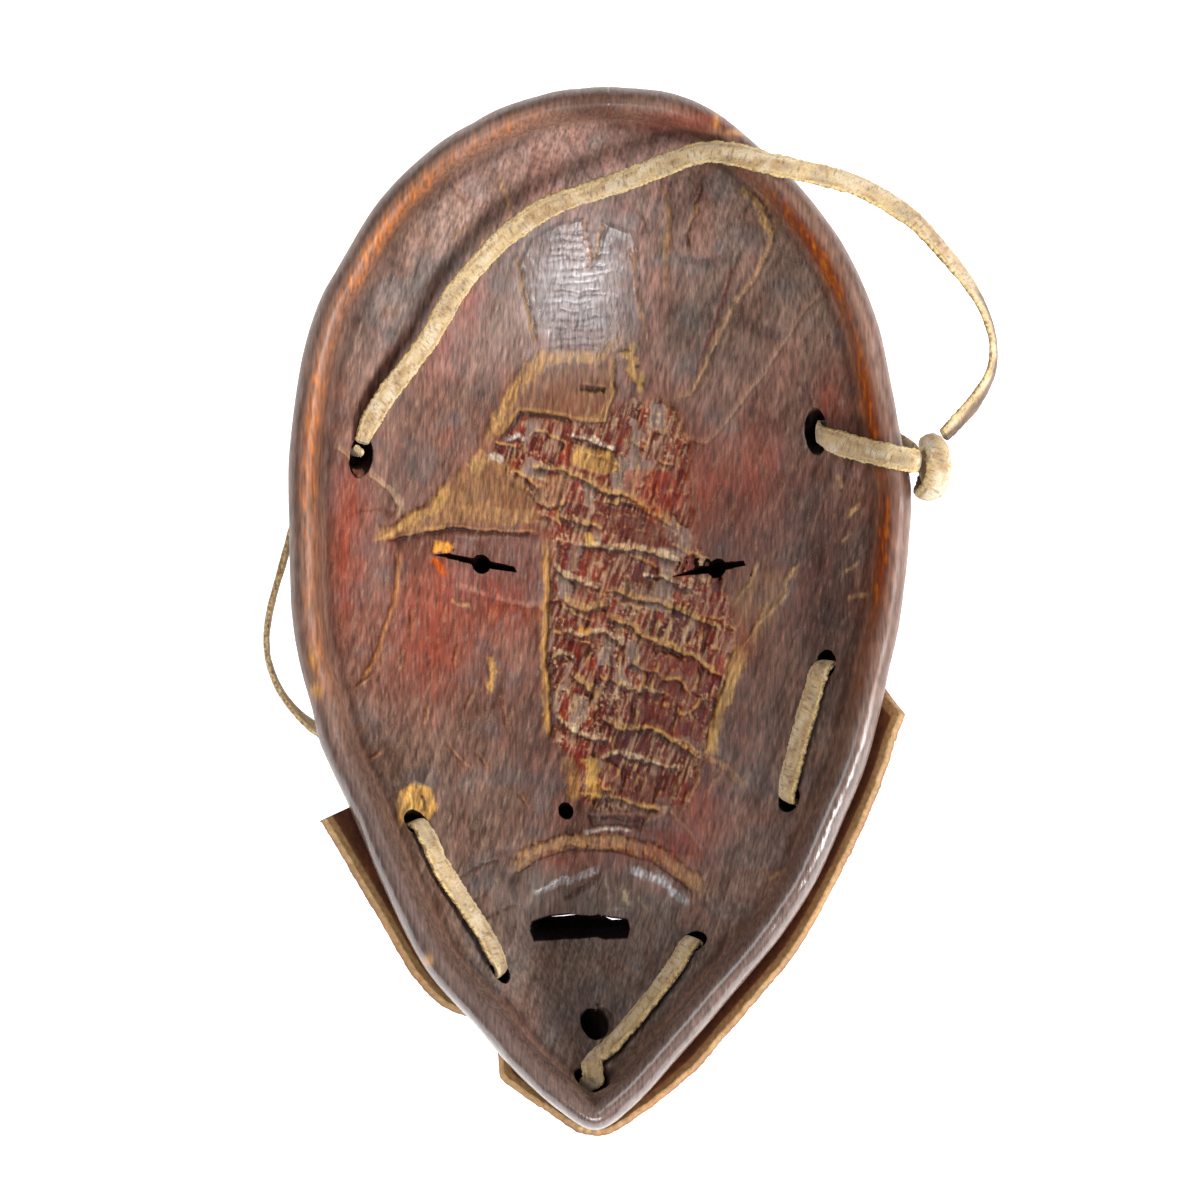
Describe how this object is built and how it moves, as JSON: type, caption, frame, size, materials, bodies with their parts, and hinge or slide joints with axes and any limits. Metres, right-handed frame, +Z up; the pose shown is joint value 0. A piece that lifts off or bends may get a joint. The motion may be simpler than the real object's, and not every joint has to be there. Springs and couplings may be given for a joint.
{
  "type": "carved folk art mask",
  "caption": "Carved wooden face mask with a hollow back, pierced eyes and mouth, a hide beard strip laced on with rawhide, and a swinging head strap.",
  "frame": {"origin": "on the surface that the mask lies on face down, under the middle of its bounding box", "axes": "+Z up out of the hollow for the wearer's face, +Y towards the forehead, +X towards the side with the strap knot"},
  "size_m": [0.1955, 0.2779, 0.0736],
  "materials": {
    "wood": "hand carved, dark stained, waxed by handling, worn orange-brown along the inner rim",
    "hide": "thick hide, dark flesh side, pale fibrous cut edge",
    "rawhide": "flat hand-cut rawhide thong, fuzzy edges, matt"
  },
  "bodies": {
    "mask": {"mask_shell": "wood", "beard_hide": "hide", "jaw_lacing": "rawhide", "rim_tie": "rawhide", "strap_knot": "rawhide", "side_loop": "rawhide"},
    "strap": {"head_strap": "rawhide"}
  },
  "joints": [
    {"name": "strap_swing", "type": "hinge", "parent": "mask", "child": "strap", "pos_m": [-0.0645, 0.045, 0.0525], "axis": [0.9967, 0.0091, 0.0809], "range_deg": [0, 100]}
  ]
}
